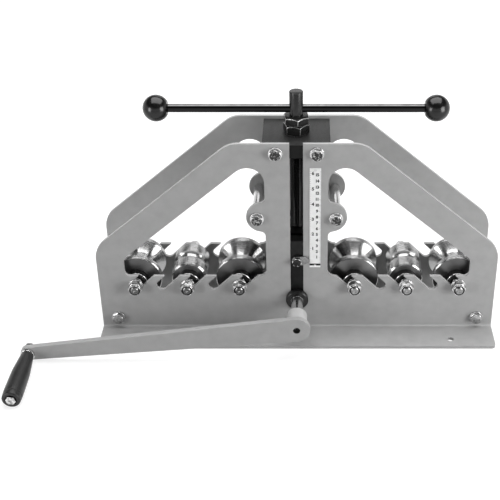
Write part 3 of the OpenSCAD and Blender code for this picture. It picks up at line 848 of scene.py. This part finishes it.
def lead_screw():
    """Round foot, thin neck, thread up to just below the cross bar, plain top."""
    low, high = box_mm("lead_screw")
    radius = (high.x - low.x) / 2
    foot_top = low.z + SCREW_FOOT_HEIGHT
    thread_low = box_mm("front_cheek")[1].z + SCREW_THREAD_GAP
    thread_high = box_mm("t_bar")[0].z - SCREW_PLAIN_TOP
    solid = Solid((0, 0, 0), "Z")
    solid.rod(SCREW_FOOT_R, low.z, foot_top, roundings=(0.5, 0.5))
    solid.rod(SCREW_NECK_R, foot_top - OVERLAP, thread_low + 1)
    solid.thread(radius, SCREW_PITCH, thread_low, thread_high, steps=64, lead_low=True)
    solid.rod(radius, thread_high - OVERLAP, high.z, roundings=(0, 1.0), steps=96)
    piece("lead_screw_threaded", solid, "press_screw", SCREW_BLACK, ["lead_screw"])


def cross_bar():
    low, high = box_mm("t_bar")
    radius, half = (high.z - low.z) / 2, (high.x - low.x) / 2
    solid = Solid((low + high) / 2, "X")
    solid.rod(radius, -half, half, roundings=(0.5, 0.5))
    piece("t_bar_blackened", solid, "press_screw", BAR_BLACK, ["t_bar"])
    ball_knob("left_ball_knob", -1, radius + CLEARANCE)
    ball_knob("right_ball_knob", 1, radius + CLEARANCE)


def ball_knob(node, flip, mouth):
    """Ball with a flat round its mouth, which faces left where flip is 1."""
    low, high = box_mm(node)
    ball = (high.z - low.z) / 2
    x = high.x - ball if flip > 0 else low.x + ball
    solid = Solid((x, 0, (low.z + high.z) / 2), "X")
    start = math.asin(mouth / ball) + BALL_FLAT
    rings = 40
    angles = [start + (math.pi - start) * i / rings for i in range(rings)]
    bore_end = -flip * BALL_BORE_END
    solid.lathe(rounded([
        (mouth, bore_end),
        (mouth, -flip * (ball * math.cos(start) - BALL_MOUTH_RECESS), 0.5),
        *[(ball * math.sin(a), -flip * ball * math.cos(a)) for a in angles],
        (0, flip * ball),
        (0, bore_end),
    ]), steps=96)
    piece(node + "_moulded", solid, "press_screw", BALL, [node])


# Crank and handle

def shaft_collar(node):
    """Ring on the drive shaft, chamfered on the side away from the middle."""
    centre, radius, half = round_sizes(node)
    flip = 1 if centre.y > 0 else -1
    inner, outer = -flip * half, flip * half
    solid = Solid(centre)
    solid.lathe(rounded([
        (SHAFT_R, inner), (radius, inner, 0.4), (radius, outer - flip * COLLAR_CHAMFER, 0.5),
        (radius - COLLAR_CHAMFER, outer, 0.5), (SHAFT_R, outer),
    ]), steps=96)
    made = piece(node + "_turned", solid, "crank", OXIDE, [node])
    bevel(made, 0.3, angle=40, edge_material=WORN)


def crank_hub():
    centre, radius, half = round_sizes("crank_hub")
    solid = Solid(centre)
    solid.rod(radius, -half, half, roundings=(0.3, 1.0), bore=SHAFT_R, steps=96)
    piece("crank_hub_turned", solid, "crank", HUB, ["crank_hub"])


def handle_grip():
    """Grip that swells from its neck to a groove near its end, with a recess for the spindle's head."""
    centre, belly, half = round_sizes("handle_grip")
    length = 2 * half
    bore = SPINDLE_R + CLEARANCE
    neck, swell, recess, recess_depth = 9.4, 13.4, 8.2, 4
    swell_y, belly_y, groove_y = [half - share * length for share in (0.4, 0.84, 0.91)]
    groove_r = belly - 0.9
    wall, lip = 0.7, 1.1
    recess_y = recess_depth - half
    solid = Solid(centre)
    solid.lathe(rounded([
        (bore, half), (neck, half, 1.5), (swell, swell_y, 300), (belly, belly_y, 60),
        (belly - 0.2, groove_y + lip, 0.2), (groove_r, groove_y + wall, 0.3),
        (groove_r, groove_y - wall, 0.3), (belly - 0.3, groove_y - lip, 0.2),
        (belly - 0.8, -half, 3.6), (recess, -half, 0.8), (recess, recess_y), (bore, recess_y),
    ], steps=8), steps=96)
    piece("handle_grip_moulded", solid, "handle", GRIP, ["handle_grip"])


def handle_spindle():
    """Hex-headed spindle through the grip, threaded into the arm."""
    low, high = box_mm("handle_spindle")
    solid = Solid((low + high) / 2)
    half = (high.y - low.y) / 2
    head = SPINDLE_HEAD - half
    thread = half - SPINDLE_THREAD
    solid.hexagon(SMALL_FLATS, -half, head, chamfers=(True, False), turned=0.2)
    solid.rod(SPINDLE_R, head - OVERLAP, thread, roundings=(0, 0.2), steps=48)
    solid.thread(SPINDLE_R, SPINDLE_PITCH, thread - OVERLAP, half, steps=40)
    made = piece("handle_spindle_turned", solid, "crank", ZINC, ["handle_spindle"])
    face_material(made, SPECKLED_ZINC, lambda y: y < HEAD_FACE_DEPTH - half)


def handle_fittings():
    """Ferrule between grip and arm, and the nut behind the arm."""
    centre, radius, half = round_sizes("handle_ferrule")
    solid = Solid(centre)
    solid.rod(radius, -half, half, roundings=(0.5, 0.5), bore=SPINDLE_HOLE_R)
    piece("handle_ferrule_turned", solid, "crank", ZINC, ["handle_ferrule"])
    centre, _, half = round_sizes("spindle_nut")
    solid = Solid(centre)
    solid.hexagon(SPINDLE_NUT_FLATS, -half, half, SPINDLE_HOLE_R)
    bevel(piece("spindle_nut_plated", solid, "crank", ZINC, ["spindle_nut"]), 0.25, angle=40)


def pointer_bolt():
    low, high = box_mm("pointer_bolt")
    solid = Solid((0, 0, (low.z + high.z) / 2))
    solid.hexagon(SMALL_FLATS, low.y, low.y + POINTER_BOLT_HEAD, chamfers=(True, False), turned=0.2)
    solid.rod(POINTER_BOLT_R, low.y + POINTER_BOLT_START, high.y, roundings=(0, 0.3), steps=40)
    made = piece("pointer_bolt_plated", solid, "press_slide", ZINC, ["pointer_bolt"])
    face_material(made, OXIDE, lambda y: y < low.y + HEAD_FACE_DEPTH)
    bevel(made, 0.2, angle=40)


# Scale

SCALE_FOOT = 8
SCALE_TOP = 4
CM_TICK = 2
CM_SHORT = 1.4
INCH = 25.4
INCH_TICK = INCH / 8
INCH_SHORT = 1.3
LONG_TICK = 2.6
TICK_MARGIN = 0.3
TICK_WIDTH = 0.3
MARK_MIDDLE = 4.9
MARK_WIDTH = 3.6
INK_FRONT = 0.03
INK_BACK = 0.02


def scale_marks():
    """Printed marks of the scale: ticks on both edges, plain numbers between them."""
    low, high = box_mm("scale_strip")
    face = low.y - INK_FRONT
    foot = low.z + SCALE_FOOT
    reach = high.z - SCALE_TOP - foot
    verts, faces = [], []

    def tick(x0, x1, z, width=TICK_WIDTH):
        n = len(verts)
        below, above = z - width / 2, z + width / 2
        for x, z_edge in ((x0, below), (x1, below), (x1, above), (x0, above)):
            verts.append((x, face, z_edge))
            verts.append((x, low.y + INK_BACK, z_edge))
        faces.extend([
            (n, n + 2, n + 4, n + 6), (n + 7, n + 5, n + 3, n + 1),
            (n, n + 1, n + 3, n + 2), (n + 2, n + 3, n + 5, n + 4),
            (n + 4, n + 5, n + 7, n + 6), (n + 6, n + 7, n + 1, n),
        ])

    for k in range(int(reach / CM_TICK) + 1):
        length = LONG_TICK if k % 5 == 0 else CM_SHORT
        tick(high.x - length, high.x - TICK_MARGIN, foot + CM_TICK * k)
    for k in range(int(reach / INCH_TICK) + 1):
        length = LONG_TICK if k % 8 == 0 else INCH_SHORT
        tick(low.x + TICK_MARGIN, low.x + length, foot + INCH_TICK * k)
    tick(low.x + 0.1, high.x - 0.1, low.z + MARK_MIDDLE, MARK_WIDTH)
    mesh = bpy.data.meshes.new("scale_ticks")
    mesh.from_pydata([Vector(v) * MM for v in verts], [], faces)
    obj = bpy.data.objects.new("scale_ticks", mesh)
    bpy.context.scene.collection.objects.link(obj)
    mesh.materials.append(INK)
    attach(obj, "frame")
    for unit, step, x, size in (("cm", 10, high.x - 5.6, 6.4), ("inch", INCH, low.x + 4.8, 7.0)):
        for k in range(1, int(reach / step) + 1):
            number("scale_number_%s_%d" % (unit, k), str(k), x, foot + step * k, size, face)


def number(name, text, x, z, size, face):
    """One printed number on the scale, as a flat mesh."""
    curve = bpy.data.curves.new(name, "FONT")
    curve.body = text
    curve.size = size * MM
    curve.align_x = "CENTER"
    curve.align_y = "CENTER"
    curve.offset = 0.3 * MM
    curve.space_character = 0.8
    curve.extrude = 0.025 * MM
    curve.resolution_u = 3
    text_obj = bpy.data.objects.new(name + "_text", curve)
    bpy.context.scene.collection.objects.link(text_obj)
    depsgraph = bpy.context.evaluated_depsgraph_get()
    mesh = bpy.data.meshes.new_from_object(text_obj.evaluated_get(depsgraph))
    mesh.name = name
    bpy.data.objects.remove(text_obj)
    obj = bpy.data.objects.new(name, mesh)
    obj.location = Vector((x, face + 0.02, z)) * MM
    obj.rotation_euler = Euler((math.radians(90), 0, 0))
    bpy.context.scene.collection.objects.link(obj)
    mesh.materials.clear()
    mesh.materials.append(INK)
    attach(obj, "frame")


# Studio, in metres

CAMERA_PLACE = (0.0164, -1.2890, 0.9508)
CAMERA_TILT = math.radians(57)
CAMERA_LENS = 71.34
CAMERA_SHIFT = (-0.1156, 0.0008)
FLOOR_REACH = 12
FLOOR_DROP = 0.0002
FLOOR_GREY = 0.36


def camera():
    data = bpy.data.cameras.new("photo_camera")
    data.sensor_width = 36
    data.lens = CAMERA_LENS
    data.shift_x, data.shift_y = CAMERA_SHIFT
    obj = bpy.data.objects.new("photo_camera", data)
    obj.location = CAMERA_PLACE
    obj.rotation_euler = Euler((CAMERA_TILT, 0, 0))
    bpy.context.scene.collection.objects.link(obj)
    bpy.context.scene.camera = obj


def seen_ray(tree):
    """1 for camera, glossy and transmission rays, 0 for the rays that only light things."""
    path = tree.nodes.new("ShaderNodeLightPath")
    seen = path.outputs["Is Camera Ray"]
    for kind in ("Is Glossy Ray", "Is Transmission Ray"):
        either = tree.nodes.new("ShaderNodeMath")
        either.operation = "MAXIMUM"
        tree.links.new(seen, either.inputs[0])
        tree.links.new(path.outputs[kind], either.inputs[1])
        seen = either.outputs["Value"]
    return seen


def floor():
    """Matt floor; it glows white for the rays that are seen, more so far behind the machine."""
    mesh = bpy.data.meshes.new("floor")
    corners = [(x * FLOOR_REACH, y * FLOOR_REACH, 0) for x, y in ((-1, -1), (1, -1), (1, 1), (-1, 1))]
    mesh.from_pydata(corners, [], [(0, 1, 2, 3)])
    obj = bpy.data.objects.new("floor", mesh)
    obj.location.z = -FLOOR_DROP
    bpy.context.scene.collection.objects.link(obj)
    material = bpy.data.materials.new("floor_white")
    material.use_nodes = True
    tree = material.node_tree
    shader = tree.nodes["Principled BSDF"]
    shader.inputs["Base Color"].default_value = (FLOOR_GREY, FLOOR_GREY, FLOOR_GREY, 1)
    shader.inputs["Roughness"].default_value = 0.9
    shader.inputs["Specular IOR Level"].default_value = 0.1
    glow = tree.nodes.new("ShaderNodeEmission")
    add = tree.nodes.new("ShaderNodeAddShader")
    parts = tree.nodes.new("ShaderNodeSeparateXYZ")
    tree.links.new(tree.nodes.new("ShaderNodeTexCoord").outputs["Object"], parts.inputs["Vector"])
    far = tree.nodes.new("ShaderNodeMapRange")
    for name, value in (("From Min", 0.1), ("From Max", 1.2), ("To Min", 0.74), ("To Max", 0.95)):
        far.inputs[name].default_value = value
    tree.links.new(parts.outputs["Y"], far.inputs["Value"])
    level = tree.nodes.new("ShaderNodeMath")
    level.operation = "MULTIPLY"
    tree.links.new(far.outputs["Result"], level.inputs[1])
    tree.links.new(seen_ray(tree), level.inputs[0])
    tree.links.new(level.outputs["Value"], glow.inputs["Strength"])
    tree.links.new(shader.outputs["BSDF"], add.inputs[0])
    tree.links.new(glow.outputs["Emission"], add.inputs[1])
    tree.links.new(add.outputs["Shader"], tree.nodes["Material Output"].inputs["Surface"])
    mesh.materials.append(material)


def world():
    """White studio wall that darkens towards the ceiling."""
    made = bpy.data.worlds.new("studio")
    bpy.context.scene.world = made
    made.use_nodes = True
    tree = made.node_tree
    background = tree.nodes["Background"]
    coords = tree.nodes.new("ShaderNodeTexCoord")
    parts = tree.nodes.new("ShaderNodeSeparateXYZ")
    wall = tree.nodes.new("ShaderNodeMapRange")
    wall.interpolation_type = "SMOOTHSTEP"
    for name, value in (("From Min", 0.18), ("From Max", 0.45), ("To Min", 1.0), ("To Max", 0.06)):
        wall.inputs[name].default_value = value
    tree.links.new(coords.outputs["Generated"], parts.inputs["Vector"])
    tree.links.new(parts.outputs["Z"], wall.inputs["Value"])
    tree.links.new(wall.outputs["Result"], background.inputs["Color"])
    level = tree.nodes.new("ShaderNodeMapRange")
    level.inputs["To Min"].default_value = 0.04
    level.inputs["To Max"].default_value = 1.0
    tree.links.new(seen_ray(tree), level.inputs["Value"])
    tree.links.new(level.outputs["Result"], background.inputs["Strength"])


def lamp(name, place, aim, size, power):
    """Rectangular soft lamp, with its power in watts."""
    data = bpy.data.lights.new(name, "AREA")
    data.shape = "RECTANGLE"
    data.size, data.size_y = size
    data.energy = power
    obj = bpy.data.objects.new(name, data)
    obj.location = place
    obj.rotation_euler = (Vector(aim) - Vector(place)).to_track_quat("-Z", "Y").to_euler()
    bpy.context.scene.collection.objects.link(obj)


def studio():
    camera()
    floor()
    world()
    front_aim = (0, -0.05, 0.15)
    lamp("overhead", place=(0.05, 0.2, 1.45), aim=(0.05, 0.15, 0), size=(1.7, 1.3), power=31)
    lamp("left_front", place=(-1.3, -1.0, 0.45), aim=front_aim, size=(0.5, 0.7), power=9.5)
    lamp("right_front", place=(1.3, -0.95, 0.5), aim=front_aim, size=(0.8, 0.9), power=19)
    lamp("rear_glow", place=(0, 1.5, 1.1), aim=(0, 0, 0.15), size=(0.9, 0.4), power=1.6)
    bpy.context.scene.view_settings.view_transform = "Standard"


studio()
dress_kept_solids()
side_rollers()
centre_roller()
for side in SIDES:
    axle(side)
axle_hardware()
plate_hardware()
screw_nuts()
lead_screw()
cross_bar()
shaft_collar("front_shaft_collar")
shaft_collar("rear_shaft_collar")
crank_hub()
handle_grip()
handle_spindle()
handle_fittings()
pointer_bolt()
scale_marks()
